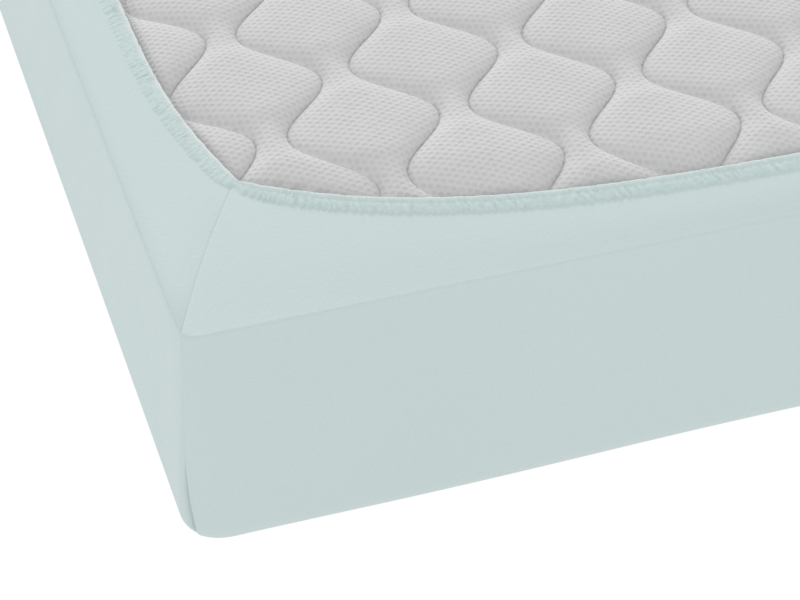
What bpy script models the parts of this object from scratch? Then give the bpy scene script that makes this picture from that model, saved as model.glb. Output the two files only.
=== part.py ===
"""A fitted sheet stretched over a single mattress.

The mattress lies with its quilted face up. The sheet's closed panel is underneath, its four
walls stand round the mattress, and its elastic hem turns over the rim onto the quilting.
X runs across the bed, Y along it, and the origin is on the floor, under the middle.
"""

import math
from collections import namedtuple

import bmesh
import bpy
from mathutils import Vector

# Driving sizes, in metres
WIDTH = 0.900
LENGTH = 2.000
SEAM_LEVEL = 0.200  # height of the quilting's seams

# Sheet
CLOTH = 0.0020
FOOT_CORNER = 0.030  # radius of a corner seen from above, near the floor
RIM_CORNER = 0.011  # the same at the upper edge, where the corner seam pulls it to a point
FOOT_RADIUS = 0.020  # round the lower edge
RIM_RADIUS = 0.005  # round the upper edge
RIM_DROP = 0.013  # the rim's arc has its centre this far below the seams
RIM_SWEEP = math.radians(67)
BAND_CROWN = 0.0015
END_TURN = 0.0365  # how far the hem reaches in from the wall, midway along an end
SIDE_TURN = 0.041
END_SLOPE = 0.70  # how steeply the hem leaves a corner
SIDE_SLOPE = 0.47
END_STRAIGHTS = 12  # steps along a wall between its corners
SIDE_STRAIGHTS = 20
HEM_WAVE = 0.0010
HEM_WAVE_LENGTH = 0.33
WALL_SAG = 0.0012
WALL_LEVELS = (0.045, 0.080, 0.130)  # heights of the profile's points between foot and rim
BAND_SHARES = (0.33, 0.67, 1.0)  # the profile's points across the turned-over band
PANEL_MIDDLE = (0.30, 0.80)  # half the size of the plain rectangle in the middle of a flat face

# Hem casing, heights above the seams
CASING_WIDTH = 0.015
STITCH_RISE = 0.0035
CASING_RISE = 0.0085
CASING_TIP_RISE = 0.0070
CASING_UNDER = 0.0040
CASING_TIP_UNDER = 0.0047

# Corners, counter-clockwise: how far the corner seam's end lies in from the side wall and from
# the end wall, and how deep the tuck at the corner's foot is
CORNERS = (
    # side x, side y, in from side, in from end, tuck
    (-1, -1, 0.070, 0.115, 0.0024),
    (1, -1, 0.094, 0.104, 0.0016),
    (1, 1, 0.074, 0.112, 0.0022),
    (-1, 1, 0.098, 0.108, 0.0016),
)
TUCK_TOP = 0.075
TUCK_FULL = 0.030

# Mattress
WALL_GAP = 0.0018
EDGE_GAP = 0.0022
MATTRESS_CORNER = 0.037
MATTRESS_FOOT = 0.023
QUILT_INSET = 0.014  # from the sheet's walls to the border of the quilted grid
MATTRESS_RIM = (
    # inset from the sheet's wall, drop below the seams
    (0.0076, 0.0136),
    (0.0048, 0.0168),
    (0.0038, 0.0225),
)
QUILT_PITCH = 0.062  # between neighbouring seams, across the bed
QUILT_REPEAT = 0.1187  # one wave of a seam, along the bed
QUILT_SWING = 0.0205
QUILT_FIRST = -0.4432  # seam 0, across the bed
QUILT_PHASE = -1.0286  # where a wave starts, along the bed
QUILT_RISE = 0.0080
NECK_SHARE = 0.35  # how high the narrow necks stand, as a share of the wide cells
NECK_WIDTH = 0.021
PRESSED_WIDTH = 0.045  # the hem presses the quilting down this far out from its edge
PRESSED_GAP = 0.0008  # between the hem's underside and the quilting
QUILT_STEPS = 6  # rows in one repeat
QUILT_SPLITS = (0.3, 0.7)  # columns between two seams

Side = namedtuple("Side", "origin along inward length straights turn slope start end")
# A place on the sheet's edge, in plan. base is the corner, or the wall itself between corners;
# middle points from there to the corner arc's centre, and out away from the sheet.
Station = namedtuple("Station", "base middle out hem bend")


def clear_scene():
    for item in list(bpy.data.objects):
        bpy.data.objects.remove(item, do_unlink=True)


def smoothstep(low, high, value):
    t = min(1.0, max(0.0, (value - low) / (high - low)))
    return t * t * (3.0 - 2.0 * t)


def mix(a, b, t):
    return a + (b - a) * t


def make_sides():
    """The four sides, counter-clockwise from the front end, each in its own along and inward axes.

    start and end hold the corner seam's end as (along, inward) from that corner.
    """
    sides = []
    directions = (Vector((1, 0)), Vector((0, 1)), Vector((-1, 0)), Vector((0, -1)))
    for index, along in enumerate(directions):
        across = index % 2 == 0
        first = CORNERS[index]
        last = CORNERS[(index + 1) % 4]
        origin = Vector((first[0] * WIDTH / 2, first[1] * LENGTH / 2))
        sides.append(
            Side(
                origin=origin,
                along=along,
                inward=Vector((-along.y, along.x)),
                length=WIDTH if across else LENGTH,
                straights=END_STRAIGHTS if across else SIDE_STRAIGHTS,
                turn=END_TURN if across else SIDE_TURN,
                slope=END_SLOPE if across else SIDE_SLOPE,
                start=(first[2], first[3]) if across else (first[3], first[2]),
                end=(last[2], last[3]) if across else (last[3], last[2]),
            )
        )
    return sides


SIDES = make_sides()


def hem_reach(side, along):
    """How far in from its wall the hem's edge lies, at a distance along the side."""
    reach = side.turn
    for distance, corner in ((along, side.start), (side.length - along, side.end)):
        extra = corner[1] - side.turn
        past = max(distance - corner[0], -0.05)
        reach += extra * math.exp(-past * side.slope / extra)
    middle = math.sin(math.pi * along / side.length) ** 2
    return reach + HEM_WAVE * middle * math.sin(math.tau * along / HEM_WAVE_LENGTH)


def hem_along(side, along):
    """Where on the hem the cloth goes that starts at a distance along the wall.

    The cloth's lines fan out at a corner, and run square to the wall away from it.
    """
    corner = RIM_CORNER * (1 - math.sqrt(0.5))
    moved = along
    for sign, distance, seam in (
        (1, along, side.start),
        (-1, side.length - along, side.end),
    ):
        shift = seam[0] - corner
        moved += sign * shift * math.exp(-(distance - corner) / (1.35 * shift))
    return moved


def side_stations(side, tuck):
    """Stations from the middle of the side's first corner to just before its last one's."""
    places = []
    for degrees in (45, 60, 75):
        angle = math.radians(degrees)
        proud = tuck * (1.0 - (degrees - 45) / 45)
        places.append((angle, False, 0.5 * proud))
    for step in range(side.straights + 1):
        places.append((step / side.straights, None, 0.0))
    for degrees, depth in ((75, 0.0), (60, 0.45), (50, 1.0)):
        places.append((math.radians(degrees), True, -depth))
    stations = []
    for value, at_end, bend in places:
        if at_end is None:
            eased = value - 0.6 * math.sin(math.tau * value) / math.tau
            base = Vector((mix(FOOT_CORNER, side.length - FOOT_CORNER, eased), 0.0))
            out = Vector((0.0, -1.0))
            middle = -out
            along = base.x
        else:
            base = Vector((side.length if at_end else 0.0, 0.0))
            turn = -1.0 if at_end else 1.0
            out = Vector((-turn * math.cos(value), -math.sin(value)))
            middle = Vector((turn, 1.0))
            along = base.x + (middle.x + out.x) * RIM_CORNER
        along = hem_along(side, along)
        stations.append(
            Station(
                base=in_plan(side, base),
                middle=turned(side, middle),
                out=turned(side, out),
                hem=in_plan(side, Vector((along, hem_reach(side, along)))),
                bend=bend,
            )
        )
    return stations


def turned(side, local):
    return side.along * local.x + side.inward * local.y


def in_plan(side, local):
    return side.origin + turned(side, local)


def make_stations():
    stations = []
    for index, side in enumerate(SIDES):
        arriving = CORNERS[(index + 1) % 4][4]
        leaving = CORNERS[index][4]
        for station in side_stations(side, leaving):
            bend = station.bend * (arriving if station.bend < 0 else 1.0)
            stations.append(station._replace(bend=bend))
    return stations


def band_level(t):
    """Height of the turned-over band's upper face, from the rim (0) to the hem's stitching (1)."""
    rim = SEAM_LEVEL - RIM_DROP + RIM_RADIUS * math.sin(RIM_SWEEP)
    stitch = SEAM_LEVEL + STITCH_RISE
    return mix(rim, stitch, t) + BAND_CROWN * math.sin(math.pi * t)


def wall_point(station, level):
    """The wall's place in plan at a height: the corners are rounder near the floor."""
    radius = mix(FOOT_CORNER, RIM_CORNER, smoothstep(0.03, 0.17, level))
    return station.base + (station.middle + station.out) * radius


def wall_shift(station, level, place):
    """How far the wall bends out at a height: the tuck at a corner, and a slight sag between."""
    tuck = station.bend * smoothstep(TUCK_TOP, TUCK_FULL, level)
    tuck *= smoothstep(-0.004, FOOT_RADIUS, level)
    sag = math.sin(math.pi * smoothstep(0.02, SEAM_LEVEL - RIM_DROP, level))
    flat = smoothstep(0.75, 1.0, max(abs(station.out.x), abs(station.out.y)))
    wave = 0.5 + 0.5 * math.sin(7.0 * place)
    return tuck - WALL_SAG * sag * flat * wave


def sheet_rows(station, bed, place, depth):
    """One profile of the sheet, from the floor panel's edge up and over to the hem's tip.

    depth is 0 for the outer face and the cloth's thickness for the inner one.
    """
    rows = []

    def add(inset, level):
        shift = wall_shift(station, level, place)
        point = wall_point(station, level) + station.out * (shift - inset)
        rows.append(Vector((point.x, point.y, level)))

    radius = FOOT_RADIUS - depth
    for degrees in (0, 30, 60, 90):
        angle = math.radians(degrees)
        add(FOOT_RADIUS - radius * math.sin(angle), FOOT_RADIUS - radius * math.cos(angle))
    for level in WALL_LEVELS:
        add(depth, level)
    radius = RIM_RADIUS - depth
    for share in (0.0, 0.4, 0.75, 1.0):
        angle = RIM_SWEEP * share
        add(
            RIM_RADIUS - radius * math.cos(angle),
            SEAM_LEVEL - RIM_DROP + radius * math.sin(angle),
        )
    stitch = station.hem - bed * CASING_WIDTH
    rim = rows[-1].to_2d()
    for t in BAND_SHARES:
        point = rim.lerp(stitch, t)
        rows.append(Vector((point.x, point.y, band_level(t) - depth)))
    if depth == 0:
        casing = (
            (0.25, CASING_RISE - 0.0008),
            (0.65, CASING_RISE),
            (1.0, CASING_TIP_RISE),
        )
    else:
        casing = ((0.65, CASING_UNDER), (0.96, CASING_TIP_UNDER))
    for t, rise in casing:
        point = stitch.lerp(station.hem, t)
        rows.append(Vector((point.x, point.y, SEAM_LEVEL + rise)))
    return rows


INNER_ROWS = (0, 1, 2, 3, 5, 7, 8, 10, 11, 13, 14, 15)  # the inner face needs fewer rows


def link_rows(mesh, lower, upper):
    count = len(lower)
    for i in range(count):
        j = (i + 1) % count
        mesh.faces.new((lower[i], lower[j], upper[j], upper[i]))


def fill_flat(mesh, ring):
    """Closes a flat ring with a rectangle in its middle and triangles from there to the ring."""
    half_x, half_y = PANEL_MIDDLE
    level = ring[0].co.z
    middle = [
        mesh.verts.new((x * half_x, y * half_y, level))
        for x, y in ((-1, -1), (1, -1), (1, 1), (-1, 1))
    ]
    mesh.faces.new(middle)

    def nearest(a, b):
        point = (a.co + b.co) / 2
        return middle[(0 if point.x < 0 else 1) if point.y < 0 else (3 if point.x < 0 else 2)]

    count = len(ring)
    for i in range(count):
        here, after = ring[i], ring[(i + 1) % count]
        corner = nearest(here, after)
        following = nearest(after, ring[(i + 2) % count])
        mesh.faces.new((here, after, corner))
        if following is not corner:
            mesh.faces.new((after, following, corner))


def build_sheet():
    stations = make_stations()
    count = len(stations)
    mesh = bmesh.new()
    outer = []
    inner = []
    place = 0.0
    for i, station in enumerate(stations):
        chord = stations[(i + 1) % count].hem - stations[i - 1].hem
        bed = Vector((-chord.y, chord.x)).normalized()
        place += (station.hem - stations[i - 1].hem).length
        rows = sheet_rows(station, bed, place, 0.0)
        outer.append([mesh.verts.new(point) for point in rows])
        rows = sheet_rows(station, bed, place, CLOTH)
        inner.append([mesh.verts.new(rows[row]) for row in INNER_ROWS])
    for columns in (outer, inner):
        rings = list(zip(*columns))
        for lower, upper in zip(rings, rings[1:]):
            link_rows(mesh, lower, upper)
        fill_flat(mesh, rings[0])
    link_rows(mesh, [c[-1] for c in outer], [c[-1] for c in inner])
    return finish_mesh("fitted_sheet", mesh, cloth_material())


def seam_x(index, y):
    """One quilting seam: neighbouring seams wave in mirror image, so that they form ogees."""
    swing = QUILT_SWING if index % 2 == 0 else -QUILT_SWING
    wave = math.cos(math.tau * (y - QUILT_PHASE) / QUILT_REPEAT)
    return QUILT_FIRST + index * QUILT_PITCH + swing * wave


def quilt_relief(x, y):
    """Height of the quilting at a point, from 0 on a seam to 1 on a wide cell's top."""
    index = math.floor((x - QUILT_FIRST) / QUILT_PITCH)
    if x < seam_x(index, y):
        index -= 1
    elif x >= seam_x(index + 1, y):
        index += 1
    left = seam_x(index, y)
    width = seam_x(index + 1, y) - left
    off_middle = abs(2 * (x - left) / width - 1)
    wide = smoothstep(NECK_WIDTH, QUILT_PITCH, width)
    return (1 - min(1.0, off_middle) ** 2.6) * mix(NECK_SHARE, 1.0, wide)


def opening_distance(x, y):
    """Distance in from the hem's edge, positive over the bare quilting."""
    nearest = LENGTH
    for side in SIDES:
        local = Vector((x, y)) - side.origin
        along = min(side.length, max(0.0, local.dot(side.along)))
        slope = (hem_reach(side, along + 0.001) - hem_reach(side, along - 0.001)) / 0.002
        distance = (local.dot(side.inward) - hem_reach(side, along)) / math.hypot(1, slope)
        nearest = min(nearest, distance)
    return nearest


def wall_distance(x, y):
    """Distance in from the sheet's walls, whose corners are round."""
    dx = WIDTH / 2 - abs(x)
    dy = LENGTH / 2 - abs(y)
    if dx < RIM_CORNER and dy < RIM_CORNER:
        return RIM_CORNER - math.hypot(RIM_CORNER - dx, RIM_CORNER - dy)
    return min(dx, dy)


def quilt_level(x, y):
    """Height of the mattress's upper face."""
    inside = opening_distance(x, y)
    stitch = SEAM_LEVEL + STITCH_RISE - CLOTH - EDGE_GAP
    edge = SEAM_LEVEL + CASING_UNDER - PRESSED_GAP
    crest = SEAM_LEVEL + QUILT_RISE
    if inside < -CASING_WIDTH:
        rim = RIM_RADIUS * (1 - math.cos(RIM_SWEEP))
        wall = max(0.0, wall_distance(x, y) - rim)
        t = wall / (wall - inside - CASING_WIDTH)
        return band_level(t) - CLOTH - EDGE_GAP
    if inside < 0:
        return mix(edge, stitch, -inside / CASING_WIDTH)
    pressed = smoothstep(0.0, PRESSED_WIDTH, inside)
    sunk = QUILT_RISE * (1 - quilt_relief(x, y)) * smoothstep(-0.004, 0.006, inside)
    return mix(edge, crest, pressed) - sunk


def round_corner(x, y):
    """A point of the quilted grid, moved inside a rectangle with round corners, and the way out."""
    radius = MATTRESS_CORNER - QUILT_INSET + CLOTH + WALL_GAP
    point = Vector((x, y))
    centre_x = math.copysign(WIDTH / 2 - QUILT_INSET - radius, x)
    centre_y = math.copysign(LENGTH / 2 - QUILT_INSET - radius, y)
    if abs(x) <= abs(centre_x):
        return point, Vector((0, math.copysign(1, y)))
    if abs(y) <= abs(centre_y):
        return point, Vector((math.copysign(1, x), 0))
    centre = Vector((centre_x, centre_y))
    out = (point - centre).normalized()
    return centre + out * min(radius, (point - centre).length), out


def quilt_columns(y):
    """Where the grid's columns cross a row: the seams, the columns between them, and the borders."""
    border = WIDTH / 2 - QUILT_INSET
    lines = [-border]
    for index in range(1, 14):
        lines.append(seam_x(index, y))
    lines.append(border)
    columns = []
    for left, right in zip(lines, lines[1:]):
        columns.append(left)
        columns += [mix(left, right, split) for split in QUILT_SPLITS]
    return columns + [border]


def quilt_rows():
    border = LENGTH / 2 - QUILT_INSET
    step = QUILT_REPEAT / QUILT_STEPS
    rows = [-border]
    first = math.ceil((-border - QUILT_PHASE) / step + 0.35)
    for index in range(first, first + int(LENGTH / step) + 1):
        y = QUILT_PHASE + index * step
        if y < border - 0.35 * step:
            rows.append(y)
    return rows + [border]


def build_mattress():
    mesh = bmesh.new()
    grid = []
    for y in quilt_rows():
        line = []
        for x in quilt_columns(y):
            point, _ = round_corner(x, y)
            line.append(mesh.verts.new((point.x, point.y, quilt_level(point.x, point.y))))
        grid.append(line)
    for lower, upper in zip(grid, grid[1:]):
        for i in range(len(lower) - 1):
            mesh.faces.new((lower[i], lower[i + 1], upper[i + 1], upper[i]))
    border = grid[0] + [line[-1] for line in grid[1:]]
    border += grid[-1][-2::-1] + [line[0] for line in grid[-2:0:-1]]
    add_mattress_sides(mesh, border)
    return finish_mesh("mattress", mesh, ticking_material())


def coarse_picks(border):
    """Every third or fourth point of the border, and all the points round its corners."""
    picks = []
    for i, vertex in enumerate(border):
        _, out = round_corner(vertex.co.x, vertex.co.y)
        turning = min(abs(out.x), abs(out.y)) > 0.02
        if turning or not picks or i - picks[-1] >= 4:
            picks.append(i)
    return picks


def add_mattress_sides(mesh, border):
    wall = CLOTH + WALL_GAP
    profile = [(inset, SEAM_LEVEL - drop) for inset, drop in MATTRESS_RIM]
    for degrees in (90, 45, 0):
        angle = math.radians(degrees)
        inset = wall + MATTRESS_FOOT * (1 - math.sin(angle))
        profile.append((inset, wall + MATTRESS_FOOT * (1 - math.cos(angle))))
    picks = coarse_picks(border)
    rings = []
    for inset, level in profile:
        ring = []
        for i in picks:
            point = border[i].co.to_2d()
            _, out = round_corner(point.x, point.y)
            point = point + out * (QUILT_INSET - inset)
            ring.append(mesh.verts.new((point.x, point.y, level)))
        rings.append(ring)
    for n, first in enumerate(picks):
        last = picks[(n + 1) % len(picks)]
        span = (last - first) % len(border)
        here, after = rings[0][n], rings[0][(n + 1) % len(picks)]
        for step in range(span):
            a = border[(first + step) % len(border)]
            b = border[(first + step + 1) % len(border)]
            mesh.faces.new((a, b, here if step < span / 2 else after))
            if step < span / 2 <= step + 1:
                mesh.faces.new((here, b, after))
    for upper, lower in zip(rings, rings[1:]):
        link_rows(mesh, lower, upper)
    fill_flat(mesh, rings[-1])


def cloth_material():
    return make_material("mint_jersey", (0.56, 0.67, 0.66), 0.92)


def ticking_material():
    return make_material("knitted_ticking", (0.72, 0.73, 0.74), 0.85)


def make_material(name, colour, roughness):
    material = bpy.data.materials.new(name)
    material.use_nodes = True
    shader = material.node_tree.nodes["Principled BSDF"]
    shader.inputs["Base Color"].default_value = (*colour, 1.0)
    shader.inputs["Roughness"].default_value = roughness
    shader.inputs["Metallic"].default_value = 0.0
    return material


def finish_mesh(name, mesh, material):
    bmesh.ops.recalc_face_normals(mesh, faces=mesh.faces)
    data = bpy.data.meshes.new(name)
    mesh.to_mesh(data)
    mesh.free()
    data.shade_smooth()
    data.set_sharp_from_angle(angle=math.radians(50))
    data.materials.append(material)
    result = bpy.data.objects.new(name, data)
    bpy.context.scene.collection.objects.link(result)
    return result


def main():
    clear_scene()
    build_sheet()
    build_mattress()


main()
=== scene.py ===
"""Looks of a mint jersey fitted sheet stretched over a single mattress.

The mattress lies with its quilted face up. The sheet's closed panel is underneath, its four
walls stand round the mattress, and its elastic hem turns over the rim onto the quilting.
X runs across the bed, Y along it and Z up. All sizes are in metres.
"""

import math
from collections import namedtuple

import bpy
import numpy as np
from mathutils import Matrix, Vector
from numpy.linalg import norm


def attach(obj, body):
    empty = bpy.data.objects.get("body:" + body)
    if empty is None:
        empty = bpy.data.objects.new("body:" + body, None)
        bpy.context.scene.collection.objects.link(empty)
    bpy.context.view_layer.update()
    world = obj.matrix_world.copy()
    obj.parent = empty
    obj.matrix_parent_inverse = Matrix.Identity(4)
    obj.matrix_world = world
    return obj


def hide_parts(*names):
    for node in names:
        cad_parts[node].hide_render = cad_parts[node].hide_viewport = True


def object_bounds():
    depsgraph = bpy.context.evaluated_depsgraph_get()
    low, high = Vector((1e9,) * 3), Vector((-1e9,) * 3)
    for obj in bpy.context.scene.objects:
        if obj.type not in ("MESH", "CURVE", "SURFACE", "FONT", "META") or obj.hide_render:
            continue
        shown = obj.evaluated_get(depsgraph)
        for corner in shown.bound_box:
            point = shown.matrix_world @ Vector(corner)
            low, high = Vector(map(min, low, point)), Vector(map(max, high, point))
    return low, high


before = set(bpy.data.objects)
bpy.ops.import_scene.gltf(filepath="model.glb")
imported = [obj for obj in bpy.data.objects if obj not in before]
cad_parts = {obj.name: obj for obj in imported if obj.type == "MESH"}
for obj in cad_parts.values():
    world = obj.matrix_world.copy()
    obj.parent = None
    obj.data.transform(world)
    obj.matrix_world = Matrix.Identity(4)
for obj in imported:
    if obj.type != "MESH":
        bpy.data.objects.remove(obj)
CAD_LOW, CAD_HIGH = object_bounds()
BODY = "root"

WIDTH = CAD_HIGH.x - CAD_LOW.x
LENGTH = CAD_HIGH.y - CAD_LOW.y
SEAM_LEVEL = 0.1935  # height of the quilting's seams
CLOTH = 0.0020  # depth left for the sheet's cloth over the mattress

# The sheet's walls
FOOT_CORNER = 0.030  # radius of the corners in plan, at the foot and at the rim
RIM_CORNER = 0.011
CORNER_LEVELS = (0.03, 0.17)  # the one radius passes into the other between these levels
SIDE_FOOT = 0.0132  # how round the walls turn under, along the sides and at the ends
END_FOOT = 0.0192
FOOT_WAVE = 0.0014
FOOT_WAVE_LENGTH = 0.37
RIM_RADIUS = 0.0025
RIM_LEVEL = SEAM_LEVEL - 0.0059  # where the walls start to turn over
RIM_SWEEP = math.radians(82)
RIM_CUT = RIM_CORNER * (1 - math.sqrt(0.5))  # how far in from both walls a corner seam starts

# The band that is turned over, and the hem's line
BAND_CROWN = 0.0010
HEM_TURNS = (0.0470, 0.0450)  # how far in the hem lies, midway along the ends and the sides
HEM_SLOPES = (0.715, 0.29)  # how fast it leaves a corner seam's end
HEM_BENDS = (-3.0, 2.2)  # low where it curves at once, high where it first runs straight
HEM_BEFORE = 0.05  # how far the curve goes on before a corner seam's end
HEM_PULL = 1.35  # a corner's pull along the hem fades over this many times its own length
HEM_WAVE = 0.0005
HEM_WAVE_LENGTH = 0.33
Corner = namedtuple("Corner", "x y from_side from_end tuck")
CORNERS = (
    # side of the bed, end of the bed, where the corner seam ends, how deep the tuck is
    Corner(-1, -1, 0.0702, 0.1284, 0.0044),
    Corner(1, -1, 0.0970, 0.1160, 0.0030),
    Corner(1, 1, 0.0770, 0.1240, 0.0038),
    Corner(-1, 1, 0.1010, 0.1200, 0.0030),
)

# The hem's casing
END_WAYS = (0.3, 0.8)  # how far the ways to the bed run along it where a side turns into an end
CASING_WIDTH = 0.0128
END_EXTRA = 0.0034  # how much wider the casing lies along the ends
END_REACH = 0.05  # how far from a corner seam it gets so
CORNER_LOSS = 0.55  # share of the casing's width that is lost at a corner seam
SIDE_LOSS = 0.55  # how much of that is lost on the sides
LOSS_REACH = (0.004, 0.007)  # how far it reaches along the sides and the ends
STITCH_RISE = 0.0006  # of the casing's outer edge above the quilting's seams

# start and end are where the corner seams end: how far along the side and how far in from it.
Side = namedtuple("Side", "origin along inward length turn slope bend start end")
# The lines of the cloth's grid round the sheet: where the wall stands in plan, the way to the
# corner arc's middle, the wall's direction (normal, plus share of a quarter turn), the hem's
# point and the way from there to the bed. seams are the numbers of those on the corner seams.
Stations = namedtuple("Stations", "base middle normal share hem way seams")


def ramp(low, high, value):
    t = np.clip((value - low) / (high - low), 0.0, 1.0)
    return t * t * (3.0 - 2.0 * t)


def mix(a, b, t):
    return a + (b - a) * t


def bell(distance, width):
    return np.exp(-((distance / width) ** 2))


def waves(seed, count, shortest, longest, *places):
    """Smooth irregular waves over one or more coordinates, with a root mean square of 1."""
    rng = np.random.default_rng(seed)
    total = 0.0
    for _ in range(count):
        phase = rng.uniform(0, math.tau)
        for place in places:
            length = rng.uniform(shortest, longest) * rng.choice((-1, 1))
            phase = phase + math.tau * place / length
        total = total + np.cos(phase)
    return total / math.sqrt(count / 2)


# ==== the sheet's lines in plan


def make_side(index, along):
    """One of the four sides, counter-clockwise from the front end, with axes of its own."""
    kind = index % 2  # 0 for an end of the bed and 1 for a long side
    first = CORNERS[index]
    last = CORNERS[(index + 1) % len(CORNERS)]
    return Side(
        origin=np.array((first.x * WIDTH / 2, first.y * LENGTH / 2)),
        along=np.array(along, float),
        inward=np.array((-along[1], along[0]), float),
        length=(WIDTH, LENGTH)[kind],
        turn=HEM_TURNS[kind],
        slope=HEM_SLOPES[kind],
        bend=HEM_BENDS[kind],
        start=seam_end(first, kind),
        end=seam_end(last, kind),
    )


def seam_end(corner, kind):
    place = (corner.from_side, corner.from_end)
    return place[::-1] if kind else place


SIDES = [make_side(*side) for side in enumerate(((1, 0), (0, 1), (-1, 0), (0, -1)))]


def in_plan(side, along, inward):
    return side.origin + np.outer(along, side.along) + np.outer(inward, side.inward)


def eased(t, bend):
    """Falls from 1, with a slope of -1, towards 0: at once or, for a high bend, later."""
    steep = np.logaddexp(0, bend) * (1 + math.exp(-bend))
    return np.logaddexp(0, bend - steep * t) / np.logaddexp(0, bend)


def hem_reach(side, along):
    """How far in from its wall the hem's edge lies, at distances along the side."""
    reach = side.turn
    for distance, seam in ((along, side.start), (side.length - along, side.end)):
        extra = seam[1] - side.turn
        past = np.maximum(distance - seam[0], -HEM_BEFORE)
        reach = reach + extra * eased(past * side.slope / extra, side.bend)
    middle = np.sin(math.pi * along / side.length) ** 2
    return reach + HEM_WAVE * middle * np.sin(math.tau * along / HEM_WAVE_LENGTH)


def hem_along(side, along):
    """Where on the hem the cloth goes that starts at distances along the wall."""
    moved = along
    ends = ((1, along, side.start), (-1, side.length - along, side.end))
    for sign, distance, seam in ends:
        shift = seam[0] - RIM_CUT
        moved = moved + sign * shift * np.exp(-(distance - RIM_CUT) / (HEM_PULL * shift))
    return moved


def hem_points(side, along):
    along = hem_along(side, along)
    return in_plan(side, along, hem_reach(side, along))


def band_level(t):
    """Height of the band's upper face, from the rim (0) to the hem's stitching (1)."""
    rim = RIM_LEVEL + RIM_RADIUS * math.sin(RIM_SWEEP)
    return mix(rim, SEAM_LEVEL + STITCH_RISE, t) + BAND_CROWN * np.sin(math.pi * t)


def corner_distance(hem):
    """Distance of points of the hem's edge from the nearest corner seam's end."""
    nearest = np.full(len(hem), LENGTH)
    for side in SIDES:
        corner = hem_points(side, np.array([RIM_CUT]))
        nearest = np.minimum(nearest, norm(hem - corner, axis=1))
    return nearest


def end_share(way):
    """0 where the hem runs along the sides and 1 along the ends, by its ways to the bed."""
    return ramp(*END_WAYS, np.abs(way[:, 1]))


def casing_width(hem, way):
    """Width of the hem's casing at points of the hem's edge, with the ways to the bed there."""
    nearest = corner_distance(hem)
    at_end = end_share(way)
    width = CASING_WIDTH + END_EXTRA * at_end * (1 - np.exp(-nearest / END_REACH))
    lost = CORNER_LOSS * mix(SIDE_LOSS, 1.0, at_end)
    return width * (1 - lost * np.exp(-nearest / mix(*LOSS_REACH, at_end)))


# ==== meshes

SHARP_ANGLE = math.radians(85)


def at_level(plan, level):
    """Points in plan at one level, or each at its own."""
    return np.column_stack((plan, np.broadcast_to(level, len(plan))))


def grid_faces(rows, columns, wrap_rows=False, wrap_columns=False):
    """Quads of a grid of points that is stored row by row."""
    row = np.arange(rows if wrap_rows else rows - 1)[:, None]
    column = np.arange(columns if wrap_columns else columns - 1)
    next_row = (row + 1) % rows
    next_column = (column + 1) % columns
    corners = ((row, column), (row, next_column), (next_row, next_column), (next_row, column))
    numbers = [at_row * columns + at_column for at_row, at_column in corners]
    return np.stack(numbers, axis=-1).reshape(-1, 4)


def closing_faces(ring, middle):
    """Triangles from a closed ring of point numbers to one point below it, facing down."""
    return np.stack((np.full(len(ring), middle), np.roll(ring, -1), ring), axis=-1)


def add_object(name, data):
    made = bpy.data.objects.new(name, data)
    bpy.context.scene.collection.objects.link(made)
    return made


def make_piece(name, points, faces, material, attributes=()):
    """A smooth mesh object. attributes are (name, one number for each point)."""
    data = bpy.data.meshes.new(name)
    polygons = [face for group in faces for face in group.tolist()]
    data.from_pydata(points.reshape(-1, 3).tolist(), [], polygons)
    for label, values in attributes:
        layer = data.attributes.new(label, "FLOAT", "POINT")
        layer.data.foreach_set("value", np.ravel(values).astype(np.float32))
    data.materials.append(material)
    data.shade_smooth()
    data.set_sharp_from_angle(angle=SHARP_ANGLE)
    data.update()
    return add_object(name, data)


# ==== sheet

# The cloth's grid. Shares run from 0 to 1 along what they divide.
STATION_STEP = 0.0070
STEP_EASE = 0.3  # how much closer together the stations are near the corners
CORNER_CLEAR = 0.002  # between a side's first station and the corner's arc
CORNER_SHARES = (0.008, 0.02, 0.045, 0.075, 0.12, 0.18, 0.26, 0.36, 0.50, 0.66, 0.83, 1.0)
CORNER_TURN = (0.1, 0.9)  # shares of a corner in which the ways to the bed turn
HEM_CHORD = 0.0005
PANEL_SHARES = (0.6, 0.85, 0.97)
FOOT_ROWS = 9
WALL_ROWS = 20
WALL_GROWTH = 1.25  # the walls' rows are closer together near the foot
RIM_ROWS = 7
BAND_SHARES = (0.008, 0.025, 0.055, 0.1, 0.16, 0.23, 0.31, 0.4, 0.5, 0.6, 0.7, 0.8, 0.9, 1.0)
TUCKED_ROWS = ((0.15, 0.0004), (0.35, 0.0001))  # the cloth's end inside the casing, and its rise
SHEET_THICKNESS = 0.0012

# The corner seams
SEAM_LEVELS = (0.008, 0.070, 0.150, RIM_LEVEL)
SEAM_SHARES = (0.47, 0.25, 0.21, 0.15)  # where in the corner's quarter turn the seam runs there
SEAM_START = (0.030, 0.075)  # levels in which a seam's relief begins
SEAM_REACH = 6  # stations beyond the corner's arc that still count as near its seam
SEAM_BOW = 0.0018  # how far the seams bow sideways on their way to the hem
BOW_WIDTH = 0.03  # how far sideways the cloth bows with them
BOW_REACH = 0.15
GROOVE_DEPTH = 0.00025
GROOVE_WIDTH = 0.0006
STEP_DEPTH = 0.0011  # how much lower the cloth lies on a seam's one side
STEP_WIDTH = 0.015
STEP_EDGE = (0.0002, -0.0006)  # distances across the seam in which it steps down
STEP_FADE = (0.008, 0.035)  # distances from the hem in which the step fades

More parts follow.
